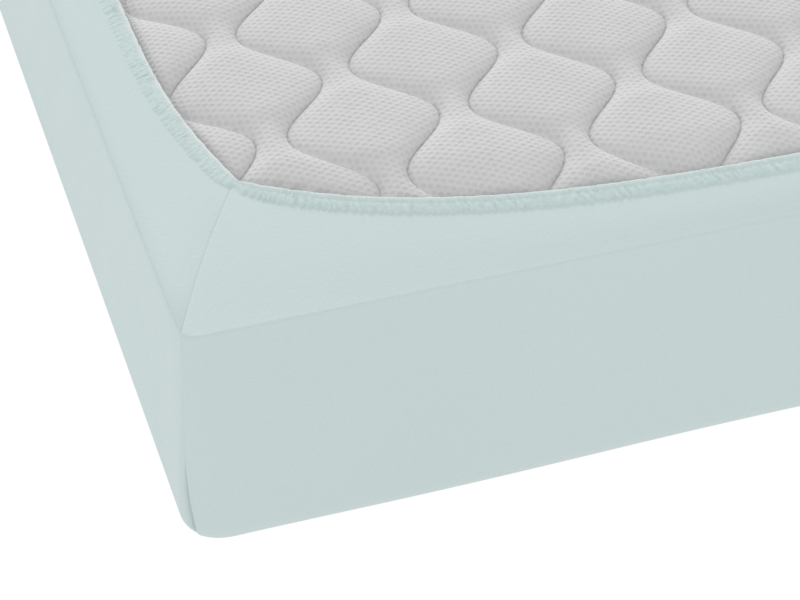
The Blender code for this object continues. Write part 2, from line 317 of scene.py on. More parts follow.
# The tucks at the seams' feet
TUCK_TOP = 0.075
TUCK_FULL = 0.030
TUCK_WIDEST = 0.020
TUCK_STATIONS = 40  # on each side of the seam
TUCK_WIDTHS = (0.0010, 0.0045)  # of the sunk side, at the top and where it is widest
TUCK_SHAPE = 1.3
TUCK_LIP = 0.0012  # how wide the sharp part of the sunk side is, and its share of the depth
LIP_SHARE = 0.4
SUNK_START = (0.002, 0.020)
PROUD_START = (0.002, 0.016)
PROUD_SHARE = 0.45
PROUD_WIDTH = 0.014

# The walls' sag. Waves are a seed, a number of waves, the shortest and the longest.
WALL_SAG = 0.0012
SAG_FOOT = (0.01, 0.05)
SAG_RIM = (RIM_LEVEL + 0.004, 0.14)
SAG_CLEAR = 0.05  # distance from a corner seam at which the sag is full
SAG_MEAN = 0.5
SAG_SPREAD = 0.25
SAG_WAVES = (3, 5, 0.5, 1.1)
RIPPLE_DEPTH = 0.00022
RIPPLE_WAVES = (5, 9, 0.07, 0.2)
RIPPLE_STRETCH = 1.5  # the ripples are this much shorter up the wall

# Paint on the sheet
STITCHING_WIDTH = 0.00045
STITCHING_START = (0.05, 0.09)
STITCHING_LEVELS = (0.180, 0.192)  # below and above which it has its two strengths
STITCHING_SHARES = (0.5, 1.0)
# painted shade in the tucks' cracks, and along the side rims' creases
CRACK_WIDTHS = (0.0016, 0.0052)
CRACK_EDGE = 0.0003
CRACK_TOP = (TUCK_TOP + 0.002, TUCK_TOP - 0.012)
CRACK_START = (0.002, 0.012)
# where the side rims' painted crease shade and the end rims' painted highlight run
PAINTED_RIM = RIM_LEVEL + 0.6 * RIM_RADIUS
CREASE_SHADE = 0.28
CREASE_WIDTH = 0.0012
RIM_HIGHLIGHT_WIDTH = 0.0014


def eased_steps(low, high, step):
    """Distances from low to high, closer together near both ends."""
    t = np.linspace(0, 1, max(2, round((high - low) / step)))
    return mix(low, high, t - STEP_EASE * np.sin(math.tau * t) / math.tau)


def square_to(chord):
    """Directions to the left of chords."""
    way = np.stack((-chord[:, 1], chord[:, 0]), axis=-1)
    return way / norm(way, axis=1)[:, None]


def bed_way(side, along):
    """Square to the hem's line, towards the bed, at distances along a side."""
    return square_to(hem_points(side, along + HEM_CHORD) - hem_points(side, along - HEM_CHORD))


def corner_part(index, shares):
    """Stations round one corner: base, middle, normal, share, hem and way to the bed."""
    arriving, leaving = SIDES[index - 1], SIDES[index]
    angle = math.pi / 2 * shares
    late = shares[:, None] >= 0.5
    along_leaving = RIM_CORNER * (1 - np.cos(angle))
    along_arriving = arriving.length - RIM_CORNER * (1 - np.sin(angle))
    hem = np.where(late, hem_points(leaving, along_leaving), hem_points(arriving, along_arriving))
    turn = ramp(*CORNER_TURN, shares)[:, None]
    way = mix(bed_way(arriving, along_arriving[:1]), bed_way(leaving, along_leaving[-1:]), turn)
    count = len(shares)
    base = np.tile(leaving.origin, (count, 1))
    middle = np.tile(leaving.along + leaving.inward, (count, 1))
    normal = np.full(count, math.pi * (1 + index / 2))
    return base, middle, normal, shares, hem, way


def side_part(index):
    """Stations along one side, as those round a corner."""
    side = SIDES[index]
    clear = FOOT_CORNER + CORNER_CLEAR
    along = eased_steps(clear, side.length - clear, STATION_STEP)
    base = in_plan(side, along, 0 * along)
    middle = np.tile(side.inward, (len(along), 1))
    normal = np.full(len(along), math.pi * (3 + index) / 2)
    return base, middle, normal, 0 * along, hem_points(side, along), bed_way(side, along)


def make_stations():
    half = np.array(CORNER_SHARES) / 2
    shares = np.concatenate((0.5 - half[::-1], [0.5], 0.5 + half))
    parts = []
    for index in range(len(SIDES)):
        parts += [corner_part(index, shares), side_part(index)]
    starts = np.cumsum([0] + [len(part[3]) for part in parts[:-1]])
    joined = [np.concatenate(values) for values in zip(*parts)]
    return Stations(*joined, seams=starts[::2] + len(CORNER_SHARES))


def direction(stations, seam_share):
    """The outward direction at each station, with the corner seam at a share of the turn."""
    share = stations.share
    early = share * seam_share / 0.5
    late = 1 - (1 - share) * (1 - seam_share) / 0.5
    share = np.where(share > 0, np.where(share < 0.5, early, late), 0)
    angle = stations.normal + share * math.pi / 2
    return np.stack((np.cos(angle), np.sin(angle)), axis=-1)


def wall_rows(foot):
    """Each row's inset and level, and how far its cloth faces outward and up.

    The rows run from the floor panel to the end of the rim. foot is the wall's radius there.
    """
    rows = []
    for angle in np.linspace(0, math.pi / 2, FOOT_ROWS):
        inset = foot * (1 - math.sin(angle))
        level = foot * (1 - math.cos(angle))
        rows.append((inset, level, math.sin(angle), -math.cos(angle)))
    for t in np.linspace(0, 1, WALL_ROWS + 1)[1:-1]:
        rows.append((0 * foot, mix(foot, RIM_LEVEL, t**WALL_GROWTH), 1.0, 0.0))
    for angle in np.linspace(0, RIM_SWEEP, RIM_ROWS):
        inset = 0 * foot + RIM_RADIUS * (1 - math.cos(angle))
        level = 0 * foot + RIM_LEVEL + RIM_RADIUS * math.sin(angle)
        rows.append((inset, level, math.cos(angle), math.sin(angle)))
    return rows


def wall_surface(stations):
    """Rows of points from the floor panel's edge to the rim, and the directions they face."""
    facing = direction(stations, 0.5)
    straight = (np.count_nonzero(stations.middle, axis=1) == 1)[:, None]
    lowest = stations.base + np.where(straight, 0, (stations.middle + facing) * FOOT_CORNER)
    wave = np.cos(math.tau * (lowest[:, 0] + WIDTH / 2) / FOOT_WAVE_LENGTH)
    foot = mix(SIDE_FOOT, END_FOOT + FOOT_WAVE * wave, facing[:, 1] ** 2)
    points = []
    facings = []
    for inset, level, outward, up in wall_rows(foot):
        out = direction(stations, np.interp(level, SEAM_LEVELS, SEAM_SHARES))
        radius = mix(FOOT_CORNER, RIM_CORNER, ramp(*CORNER_LEVELS, level))[:, None]
        arc = stations.base + (stations.middle + out) * radius
        plan = np.where(straight, stations.base, arc) - out * inset[:, None]
        points.append(at_level(plan, level))
        facings.append(at_level(out * outward, up))
    return points, facings


def seam_bow(stations, rim, stitch):
    """How far the band's cloth bows sideways midway to the hem, most at the seams."""
    moved = np.zeros_like(rim)
    for seam in stations.seams:
        line = stitch[seam] - rim[seam]
        line = line / norm(line)
        sideways = np.array((-line[1], line[0]))
        middle = (rim + stitch) / 2 - (rim[seam] + stitch[seam]) / 2
        near = norm(middle, axis=1) < BOW_REACH
        share = bell(middle @ sideways, BOW_WIDTH) * near
        moved += sideways * SEAM_BOW * share[:, None]
    return moved


def band_surface(stations, rim):
    """Rows of points from the rim to the cloth's end inside the hem's casing."""
    stitch = stations.hem - stations.way * casing_width(stations.hem, stations.way)[:, None]
    bow = seam_bow(stations, rim, stitch)
    points = []
    for t in BAND_SHARES:
        plan = mix(rim, stitch, t) + bow * math.sin(math.pi * t)
        points.append(at_level(plan, band_level(t)))
    for t, rise in TUCKED_ROWS:
        points.append(at_level(mix(stitch, stations.hem, t), SEAM_LEVEL + rise))
    return points


def sheet_surface(stations):
    """Points of the smooth sheet (rows, stations, 3) and the directions that they face."""
    walls, facings = wall_surface(stations)
    band = band_surface(stations, walls[-1][:, :2])
    upward = np.tile((0.0, 0.0, 1.0), (len(stations.base), 1))
    return np.array(walls + band), np.array(facings + [upward] * len(band))


def seam_distances(points, seams):
    """Distance of each point from the nearest corner seam, along its row: negative before it."""
    reach = len(CORNER_SHARES) + SEAM_REACH
    across = np.full(points.shape[:2], 1.0)
    for seam in seams:
        columns = np.arange(seam - reach, seam + reach + 1) % points.shape[1]
        steps = norm(np.diff(points[:, columns], axis=1), axis=2)
        run = np.hstack((np.zeros((len(points), 1)), np.cumsum(steps, axis=1)))
        across[:, columns] = run - run[:, reach : reach + 1]
    return across


def seam_relief(points, across):
    """How far out the corner seams' grooves, and the cloth beside them, stand."""
    size = np.abs(across)
    from_hem = norm(points[-1, :, :2] - points[:, :, :2], axis=2)
    groove = -GROOVE_DEPTH * bell(size, GROOVE_WIDTH)
    lower = -STEP_DEPTH * np.exp(-size / STEP_WIDTH) * ramp(*STEP_EDGE, across)
    lower = lower * ramp(*STEP_FADE, from_hem)
    return (groove + lower) * ramp(*SEAM_START, points[:, :, 2])


def tuck_relief(level, across, seams):
    """How far out the tucks stand: sunk before the seam and proud after it."""
    size = np.abs(across)
    columns = level.shape[1]
    tuck = np.zeros_like(level)
    for seam, corner in zip(seams, CORNERS):
        offset = (np.arange(columns) - seam + columns // 2) % columns - columns // 2
        tuck[:, np.abs(offset) <= TUCK_STATIONS] = corner.tuck
    tuck *= ramp(TUCK_TOP, TUCK_FULL, level)
    wide = mix(*TUCK_WIDTHS, ramp(TUCK_TOP, TUCK_WIDEST, level))
    lip = LIP_SHARE * np.exp(-size / TUCK_LIP)
    crack = lip + (1 - LIP_SHARE) * np.exp(-((size / wide) ** TUCK_SHAPE))
    sunk = -tuck * crack * ramp(*SUNK_START, level)
    proud = PROUD_SHARE * tuck * np.exp(-size / PROUD_WIDTH) * ramp(*PROUD_START, level)
    return np.where(across < 0, sunk, proud)


def sag(level, across, hem):
    """How far the walls' cloth hangs in between the foot and the rim, and its slow waves."""
    steps = norm(hem - np.roll(hem, 1, axis=0), axis=1)
    around = steps.sum()
    turns = math.tau * np.cumsum(steps) / around
    round_x = (np.cos(turns) * around / math.tau)[None, :]
    round_y = (np.sin(turns) * around / math.tau)[None, :]
    hollow = SAG_MEAN + SAG_SPREAD * waves(*SAG_WAVES, round_x, round_y)
    ripple = waves(*RIPPLE_WAVES, round_x, round_y, RIPPLE_STRETCH * level)
    wall = ramp(*SAG_FOOT, level) * ramp(*SAG_RIM, level)
    away = ramp(0.0, SAG_CLEAR, np.abs(across))
    return (RIPPLE_DEPTH * ripple - WALL_SAG * hollow) * wall * away


def sheet_paint(level, across, sideways):
    """The seams' stitching, painted shade in the tucks and side rims' creases, and a painted
    highlight on the end rims.

    sideways is how far each wall faces across the bed.
    """
    stitching = mix(*STITCHING_SHARES, ramp(*STITCHING_LEVELS, level))
    seam = bell(across, STITCHING_WIDTH) * stitching * ramp(*STITCHING_START, level)
    # painted shade in the tucks' cracks
    wide = mix(*CRACK_WIDTHS, ramp(TUCK_TOP, TUCK_FULL, level))
    crack = bell(across, np.where(across < 0, wide, CRACK_EDGE))
    crack = crack * ramp(*CRACK_TOP, level) * ramp(*CRACK_START, level)
    # painted shade along the side rims' creases
    crease = CREASE_SHADE * sideways**2 * bell(level - PAINTED_RIM, CREASE_WIDTH)
    # a painted highlight along the end rims where they turn over
    rim_highlight = (1 - sideways**2) * bell(level - PAINTED_RIM, RIM_HIGHLIGHT_WIDTH)
    return {"seam_line": seam, "crack": np.maximum(crack, crease), "rim_highlight": rim_highlight}


def build_sheet(material):
    stations = make_stations()
    points, facings = sheet_surface(stations)
    across = seam_distances(points, stations.seams)
    level = points[:, :, 2]
    relief = seam_relief(points, across) + tuck_relief(level, across, stations.seams)
    relief = relief + sag(level, across, stations.hem)
    points = points + facings * relief[:, :, None]
    paint = sheet_paint(points[:, :, 2], across, direction(stations, 0.5)[:, 0])

    panel = np.array([points[0] * (share, share, 1) for share in PANEL_SHARES])
    grid = np.concatenate((panel, points))
    columns = grid.shape[1]
    everything = np.concatenate((grid.reshape(-1, 3), np.zeros((1, 3))))
    faces = (
        grid_faces(len(grid), columns, wrap_columns=True),
        closing_faces(np.arange(columns), len(everything) - 1),
    )
    bare = np.zeros(panel.shape[:2])
    attributes = {name: np.concatenate((bare, share)) for name, share in paint.items()}
    rows = np.cumsum(norm(np.diff(grid, axis=0), axis=2), axis=0)
    attributes["profile"] = np.concatenate((bare[:1], rows))
    padded = [(name, np.append(values, 0.0)) for name, values in attributes.items()]
    piece = make_piece("sheet_cloth", everything, faces, material, padded)
    solid = piece.modifiers.new("thickness", "SOLIDIFY")
    solid.thickness = SHEET_THICKNESS
    solid.offset = -1.0
    return piece


# ==== hem

HEM_STEPS = (0.0007, 0.0020)  # near the corner that shows most and far from it
HEM_NEAR = (0.45, 0.9)  # distances from that corner in which the step grows
HEM_SAMPLE = 0.0004
HEM_EASE = 4  # stations on each side over which the ways to the bed are evened out

# The casing's section. Rises are above the quilting's seams, or for the skirt above the
# stitching, and shares are of the casing's width from its outer edge.
CASING_SKIRT = ((-0.0022, -0.00045), (-0.0009, -0.00005))  # way in from the outer edge, rise
CASING_TOP = (
    *((0.0, 0.0008), (0.03, 0.0011), (0.08, 0.0014), (0.15, 0.0017), (0.23, 0.0019)),
    *((0.31, 0.0021), (0.39, 0.0022), (0.46, 0.00215), (0.52, 0.0021), (0.58, 0.00208)),
    *((0.64, 0.0021), (0.7, 0.0022), (0.77, 0.0023), (0.84, 0.0024), (0.9, 0.00245)),
    *((0.95, 0.0023), (0.985, 0.0018), (1.0, 0.0008)),
)
CASING_BOTTOM = ((0.975, 0.0002), (0.80, -0.0002), (0.40, -0.0005), (0.04, -0.0008))
NARROW_RISE = 0.0010  # of the top where the casing has no width
CASING_START = (-0.02, 0.10)  # shares in which the casing's own relief and colour begin

# The casing's gathers. Ribs are a seed, a pitch and how uneven they are.
Ribs = namedtuple("Ribs", "seed pitch spread")
RIBS = Ribs(41, 0.0027, 1.9)
FINE_RIBS = Ribs(43, 0.0019, 1.2)
LOBES = Ribs(21, 0.0047, 2.4)
SCALLOPS = Ribs(21, 0.0047, 1.5)
STITCHES = Ribs(61, 0.0055, 0.6)
RIB_DRIFT = (7, 0.008, 0.05)  # waves that take their seed from the ribs
RIB_LEAN = (5, 0.03, 0.12)
RIB_SLANT = 0.0040  # how far a rib runs along the hem on its way across the casing
SLANT_SPREAD = 0.3
RIB_HEIGHT = 0.00060
FINE_SHARE = 0.35
RIB_SHARES = ((0.25, 0.60), (1.03, 0.90))  # where the ribs begin and end across the casing
LOBE_HEIGHT = 0.00024
LOBE_END = (0.85, 0.35)
BLOTCH_SHARE = 0.35
BLOTCH_WAVES = (33, 8, 0.003, 0.012)
BLOTCH_WIDTH = 0.006
STRENGTH_MEAN = 0.75  # how strong the gathers are, from place to place along the hem
STRENGTH_SPREAD = 0.50
STRENGTH_WAVES = (31, 8, 0.012, 0.09)
STRENGTH_LIMITS = (0.1, 1.6)
END_RIBS = 0.55  # how strong the ribs are along the ends, where the hem is stretched most
SCALLOP_DEPTH = 0.0006
CORNER_SCALLOP = 0.0030  # how much deeper it gets along the ends, near a corner
SCALLOP_REACH = 0.10
OUTER_RAGGED = 0.0003
OUTER_WAVES = (23, 8, 0.006, 0.03)
INNER_RAGGED = 0.00012
INNER_WAVES = (27, 9, 0.004, 0.02)
STITCH_LINE = 0.56  # share of the casing's width where its stitching shows
PINCH_WIDTH = 0.06
PINCH_DEPTH = 0.00015

# Paint on the casing: painted shade in its gathers and a painted highlight at its inner edge
OUTER_FOLD_SHADE = 0.15  # how much painted shade it has near its outer edge
INNER_FOLD_SHADES = (0.30, 0.60)  # and further in, by the sides and the ends
# painted shade under the casing
UNDER_FOLD_SHADE = 0.3
FOLD_SHARES = (0.2, 0.55)
RIB_FOLD_SHADE = 0.55
LOBE_FOLD_SHADE = 0.35
THREAD_WIDTH = 0.035
THREAD_ENDS = (0.55, 0.25)
EDGE_HIGHLIGHT_WIDTHS = (0.17, 0.12)  # of the painted highlight on the inner edge, by the sides and the ends
HIGHLIGHT_RIBS = 0.85  # the ribs at this share of the width also dent that painted highlight
HIGHLIGHT_DENTS = (0.4, 1.0)


def hem_line():
    """The hem's edge, the ways to the bed and the run along it, at close and even steps."""
    corner = RIM_CUT + HEM_SAMPLE
    hems = []
    for side in SIDES:
        hems.append(hem_points(side, np.arange(corner, side.length - corner, HEM_SAMPLE)))
    hem = np.concatenate(hems)
    distance = norm(hem - SIDES[0].origin, axis=1)
    step = mix(*HEM_STEPS, ramp(*HEM_NEAR, distance))
    length = norm(np.roll(hem, -1, axis=0) - hem, axis=1)
    counted = np.concatenate(([0.0], np.cumsum(length / step)))
    run = np.concatenate(([0.0], np.cumsum(length)))
    targets = np.linspace(0, counted[-1], int(counted[-1]), endpoint=False)
    closed = np.concatenate((hem, hem[:1]))
    placed = np.stack([np.interp(targets, counted, closed[:, axis]) for axis in (0, 1)], axis=-1)
    return placed, hem_ways(placed), np.interp(targets, counted, run)


def hem_ways(hem):
    """Square to the hem's line, towards the bed, easing round the corners."""
    chord = np.roll(hem, -HEM_EASE, axis=0) - np.roll(hem, HEM_EASE, axis=0)
    return square_to(sum(np.roll(chord, shift, axis=0) for shift in range(-HEM_EASE, HEM_EASE + 1)))


def gathered(run, across, ribs):
    """Irregular rounded ribs square to the hem: about 1 on a rib and 0 between."""
    drift = waves(ribs.seed, *RIB_DRIFT, run)
    lean = RIB_SLANT * (1 + SLANT_SPREAD * waves(ribs.seed + 1, *RIB_LEAN, run))
    phase = math.tau * (run + lean * across) / ribs.pitch + ribs.spread * drift
    return 0.5 + 0.5 * np.cos(phase)


def gathers(run, share):
    """The casing's ribs and its broader lobes at a share of its width, each about -0.5 to 0.5."""
    fine = gathered(run, share, FINE_RIBS)
    ribs = (1 - FINE_SHARE) * gathered(run, share, RIBS) + FINE_SHARE * fine
    lobes = gathered(run, share, LOBES)
    strength = STRENGTH_MEAN + STRENGTH_SPREAD * waves(*STRENGTH_WAVES, run)
    strength = np.clip(strength, *STRENGTH_LIMITS)
    inner = ramp(*RIB_SHARES[0], share) * ramp(*RIB_SHARES[1], share)
    outer = ramp(*CASING_START, share) * ramp(*LOBE_END, share)
    blotches = BLOTCH_SHARE * waves(*BLOTCH_WAVES, run, BLOTCH_WIDTH * share)
    return inner * (ribs - 0.5) * strength, outer * (lobes - 0.5 + blotches) * strength


def casing_edges(hem, way, run, width, full):
    """The casing's scalloped outer edge and its slightly ragged inner one, in plan."""
    near = end_share(way) * np.exp(-corner_distance(hem) / SCALLOP_REACH)
    scallop = SCALLOP_DEPTH + CORNER_SCALLOP * near
    scallop = scallop * full * (gathered(run, 0.0, SCALLOPS) - 0.5)
    outer = hem - way * (width + scallop + OUTER_RAGGED * waves(*OUTER_WAVES, run))[:, None]
    inner = hem + way * (INNER_RAGGED * waves(*INNER_WAVES, run))[:, None]
    return outer, inner


def top_row(run, share, dashes, at_end):
    """Relief of one row of the casing's top and its painted shade."""
    rib, lobe = gathers(run, share)
    rib = rib * mix(1.0, END_RIBS, at_end)
    pinch = bell(share - STITCH_LINE, PINCH_WIDTH)
    relief = RIB_HEIGHT * rib + LOBE_HEIGHT * lobe - PINCH_DEPTH * pinch * dashes
    # painted shade: darker further in from the outer edge and in the gathers' hollows
    shade = mix(OUTER_FOLD_SHADE, mix(*INNER_FOLD_SHADES, at_end), ramp(*FOLD_SHARES, share))
    return relief, shade - RIB_FOLD_SHADE * rib - LOBE_FOLD_SHADE * lobe


def build_hem(material):
    hem, way, run = hem_line()
    at_end = end_share(way)
    width = casing_width(hem, way)
    full = np.clip(width / (CASING_WIDTH + END_EXTRA / 2), 0, 1)
    outer, inner = casing_edges(hem, way, run, width, full)
    dashes = gathered(run, 0.0, STITCHES)
    rows = []  # share of the width, points and their painted shade
    for place, rise in CASING_SKIRT:
        level = SEAM_LEVEL + STITCH_RISE + rise
        rows.append((0.0, at_level(outer + way * place, level), 0 * run))
    for share, rise in CASING_TOP:
        relief, fold_shade = top_row(run, share, dashes, at_end)
        level = SEAM_LEVEL + mix(NARROW_RISE, rise, full) + relief * full
        rows.append((share, at_level(mix(outer, inner, share), level), fold_shade))
    for share, rise in CASING_BOTTOM:
        points = at_level(mix(outer, inner, share), SEAM_LEVEL + rise)
        rows.append((share, points, UNDER_FOLD_SHADE + 0 * run))
    shares, points, fold_shades = (np.array(column) for column in zip(*rows))
    attributes = casing_paint(run, shares, fold_shades, dashes, at_end)
    faces = [grid_faces(len(shares), len(run), wrap_rows=True, wrap_columns=True)]
    return make_piece("hem_casing", points, faces, material, attributes)


def casing_paint(run, shares, fold_shades, dashes, at_end):
    """Where the casing is gathered cloth, its painted edge highlight, its threads and its painted
    shade.
    """
    spread = np.broadcast_to(shares[:, None], fold_shades.shape)
    dents = np.minimum(gathers(run, HIGHLIGHT_RIBS)[0], 0.0)
    highlight_strength = 1 + mix(*HIGHLIGHT_DENTS, at_end) * dents
    return (
        ("casing", ramp(*CASING_START, spread)),
        # a painted highlight along the casing's inner edge, dented by the ribs
        ("edge", np.exp(-(1 - spread) / mix(*EDGE_HIGHLIGHT_WIDTHS, at_end)) * highlight_strength),
        ("threads", bell(spread - STITCH_LINE, THREAD_WIDTH) * ramp(*THREAD_ENDS, dashes)),
        # painted shade in the gathers
        ("fold_shade", fold_shades),
    )


# ==== mattress

WALL_GAP = 0.0018  # between the cloth and the mattress
EDGE_GAP = 0.0022
MATTRESS_CORNER = 0.037
MATTRESS_FOOT = 0.023
FOOT_RINGS = 5
MATTRESS_RIM = ((0.0076, 0.0071), (0.0048, 0.0103), (0.0038, 0.0160))  # inset, drop below seams
QUILT_INSET = 0.014
QUILT_SEAMS = 13
QUILT_PITCH = 0.0624
QUILT_REPEAT = 0.1181
QUILT_SWING = 0.0206
QUILT_FIRST = -0.4403
QUILT_PHASE = -1.0183
QUILT_SKEW = (0.0002, 0.0034)  # how far every second seam is out of place, across and along
QUILT_LEAN = -0.011  # across the bed for each metre along it
QUILT_RISE = 0.0080  # of a cell's top above the seams
SINK_START = (-0.004, 0.006)  # distances in from the hem in which the seams begin to sink
NECK_SHARE = 0.68  # of that rise in the necks between the cells
NECK_WIDTH = 0.021
PUFF_POWER = 1.7
PUFF_EDGE = 0.0020  # the quilting puffs up this close to a seam
EDGE_SHARE = 0.25
PRESSED_WIDTH = 0.040  # how far from the hem the padding is pressed down
PRESSED_GAP = 0.0008
CASING_UNDER = 0.0002
BITE_WIDTH = 0.0042  # how fast the padding swells out from under the hem
BITE_SHARE = 0.55

# The mattress's grid. Rows are where a stretch ends along the bed and its step.
QUILT_ROWS = ((-0.87, 0.0023), (-0.55, 0.0045), (0.88, 0.0100), (LENGTH / 2 - QUILT_INSET, 0.0045))
CHANNEL_SHARES = (0.0, 0.010, 0.028, 0.060, 0.115, 0.20, 0.33, 0.52, 0.75, 1.0)
OUTER_COLUMNS = 34
OUTER_EDGE = 0.06  # share in which an outer channel still has its fine columns
SLOPE_STEP = 0.001
TINY = 1e-6

# Paint on the mattress
# painted highlight on the brows of the puffs whose far side runs into a seam
CREST_WIDTH = 0.0020
CREST_SLOPES = (0.1, 0.7)
# painted shade along the quilting's seams
SEAM_WIDTH = 0.0005
SEAM_ON_CREST = 0.7  # how much of a seam's painted shade is lost beside a painted crest highlight
# painted contact shadow on the quilting beside the hem's edge
CONTACT_SHADOW_WIDTH = 0.0038


def seam_x(index, y):
    """A quilting seam: neighbouring seams wave in mirror image, so that they form ogees."""
    odd = index % 2
    swing = -QUILT_SWING if odd else QUILT_SWING
    wave = np.cos(math.tau * (y - QUILT_PHASE - odd * QUILT_SKEW[1]) / QUILT_REPEAT)
    straight = QUILT_FIRST + index * QUILT_PITCH + odd * QUILT_SKEW[0]
    return straight + QUILT_LEAN * (y + LENGTH / 2) + swing * wave


def opening_distance(x, y):
    """Distance in from the hem's edge, positive over the bare quilting."""
    nearest = np.full(x.shape, LENGTH)
    for side in SIDES:
        dx = x - side.origin[0]
        dy = y - side.origin[1]
        along = np.clip(dx * side.along[0] + dy * side.along[1], 0.0, side.length)
        inward = dx * side.inward[0] + dy * side.inward[1]
        change = hem_reach(side, along + SLOPE_STEP) - hem_reach(side, along - SLOPE_STEP)
        slope = change / (2 * SLOPE_STEP)
        nearest = np.minimum(nearest, (inward - hem_reach(side, along)) / np.hypot(1, slope))
    return nearest


def quilt_level(x, y, relief):
    """Height of the mattress's upper face, for a relief from 0 on a seam to 1 on a cell's top."""
    inside = opening_distance(x, y)
    stitch = SEAM_LEVEL + STITCH_RISE - CLOTH - EDGE_GAP
    edge = SEAM_LEVEL + CASING_UNDER - PRESSED_GAP
    wall = np.minimum(WIDTH / 2 - np.abs(x), LENGTH / 2 - np.abs(y))
    wall = np.maximum(0.0, wall - RIM_RADIUS * (1 - math.cos(RIM_SWEEP)))
    t = wall / np.maximum(wall - inside - CASING_WIDTH, TINY)
    under_band = band_level(np.clip(t, 0, 1)) - CLOTH - EDGE_GAP
    under_casing = mix(edge, stitch, -inside / CASING_WIDTH)
    swell = 1 - np.exp(-np.maximum(inside, 0.0) / BITE_WIDTH)
    pressed = mix(ramp(0.0, PRESSED_WIDTH, inside), swell, BITE_SHARE)
    sunk = QUILT_RISE * (1 - relief) * ramp(*SINK_START, inside)
    bare = mix(edge, SEAM_LEVEL + QUILT_RISE, pressed) - sunk
    level = np.where(inside < 0, under_casing, bare)
    return np.where(inside < -CASING_WIDTH, under_band, level)


def quilt_rows():
    """Places along the bed of the quilting's rows, closest where it shows most."""
    rows = [np.array([QUILT_INSET - LENGTH / 2])]
    for end, step in QUILT_ROWS:
        start = rows[-1][-1]
        rows.append(np.linspace(start, end, round((end - start) / step) + 1)[1:])
    return np.concatenate(rows)


def channel_shares(outer):
    """Shares of a channel's width where its columns stand, closest to its seams."""
    half = np.array(CHANNEL_SHARES) / 2
    shares = np.concatenate((half, 1 - half[-2:0:-1]))
    if outer:
        even = np.linspace(0, 1, OUTER_COLUMNS, endpoint=False)
        near = shares[np.minimum(shares, 1 - shares) < OUTER_EDGE]
        far = even[np.minimum(even, 1 - even) > OUTER_EDGE]
        shares = np.sort(np.concatenate((near, far)))
    return shares


def quilt_channel(left, right, y, outer):
    """Columns between two seams: x, distance from the nearest seam, relief and crest highlight.

    The crest highlight is a painted highlight, 1 on the brow of the puffs whose far side runs
    straight into a seam.
    """
    shares = channel_shares(outer)
    first = shares < 0.5
    width = (right - left)[:, None]
    slope = np.where(first, np.gradient(left, y)[:, None], np.gradient(right, y)[:, None])
    near = 1 - np.abs(2 * shares - 1)
    distance = near * width / 2 / np.hypot(1, slope)
    puff = 1 - (1 - near) ** PUFF_POWER
    puff = mix(puff, 1 - np.exp(-distance / PUFF_EDGE), EDGE_SHARE)
    relief = puff * mix(NECK_SHARE, 1.0, ramp(NECK_WIDTH, QUILT_PITCH, width))
    reach = np.where(first, CREST_WIDTH / 2, CREST_WIDTH)
    crest_highlight = ramp(*CREST_SLOPES, -slope) * bell(distance, reach)
    return left[:, None] + width * shares, distance, relief, crest_highlight


def quilt_grid():
    """A grid that follows the seams: x, y, distance from the nearest seam, relief and crest
    highlight.
    """
    border_x = WIDTH / 2 - QUILT_INSET
    y = quilt_rows()
    lines = [np.full(len(y), -border_x)]
    lines += [seam_x(index, y) for index in range(1, QUILT_SEAMS + 1)]
    lines.append(np.full(len(y), border_x))
    parts = []
    for number, (left, right) in enumerate(zip(lines, lines[1:])):
        parts.append(quilt_channel(left, right, y, outer=number in (0, QUILT_SEAMS)))
    edge = np.zeros((len(y), 1))
    parts.append((edge + border_x, edge, edge, edge))
    x, distance, relief, crest_highlight = (np.hstack(columns) for columns in zip(*parts))
    return x, np.broadcast_to(y[:, None], x.shape), distance, relief, crest_highlight


def round_corners(plan):
    """The grid's points moved inside a rectangle with round corners, and the way out there."""
    radius = MATTRESS_CORNER - QUILT_INSET + CLOTH + WALL_GAP
    centre = np.array((WIDTH, LENGTH)) / 2 - QUILT_INSET - radius
    past = np.maximum(np.abs(plan) - centre, 0.0)
    size = np.maximum(np.hypot(past[..., 0], past[..., 1]), TINY)[..., None]
    turning = (past > 0).all(axis=-1, keepdims=True)
    moved = np.sign(plan) * (centre + past * np.minimum(1.0, radius / size))
    return np.where(turning, moved, plan), np.sign(plan) * past / size


def lower_rings(border, ways):
    """Rings of points round the rim, the walls and the foot, below the quilting's border."""
    wall = CLOTH + WALL_GAP
    profile = [(inset, SEAM_LEVEL - drop) for inset, drop in MATTRESS_RIM]
    for angle in np.linspace(math.pi / 2, 0, FOOT_RINGS):
        inset = wall + MATTRESS_FOOT * (1 - math.sin(angle))
        profile.append((inset, wall + MATTRESS_FOOT * (1 - math.cos(angle))))
    return [at_level(border + ways * (QUILT_INSET - inset), level) for inset, level in profile]


